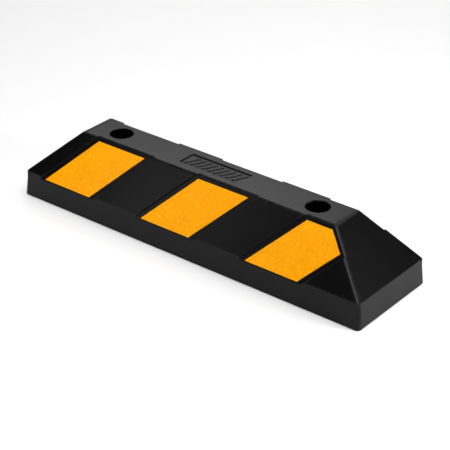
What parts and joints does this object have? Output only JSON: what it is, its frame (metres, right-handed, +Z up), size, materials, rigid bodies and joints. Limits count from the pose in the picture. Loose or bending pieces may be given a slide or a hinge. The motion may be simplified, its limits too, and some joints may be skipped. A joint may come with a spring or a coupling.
{
  "type": "parking wheel stop",
  "caption": "Moulded rubber bar with hipped ends that stops a car's wheel, with slanted reflective panels along both long faces and anchor bolt holes through it.",
  "frame": {"origin": "centre of the footprint, on the ground", "axes": "+X along the bar, -Y towards the front, +Z up"},
  "size_m": [0.55, 0.146, 0.099],
  "materials": {
    "rubber": "satin moulded rubber, slightly mottled",
    "reflective_panel": "amber yellow glass-bead reflective sheet, fine grain",
    "steel": "zinc-plated"
  },
  "bodies": {
    "root": {"rubber_body": "rubber", "front_panel_left": "reflective_panel", "front_panel_middle": "reflective_panel", "front_panel_right": "reflective_panel", "rear_panel_left": "reflective_panel", "rear_panel_middle": "reflective_panel", "rear_panel_right": "reflective_panel", "left_seat_washer": "steel", "right_seat_washer": "steel"}
  },
  "joints": []
}
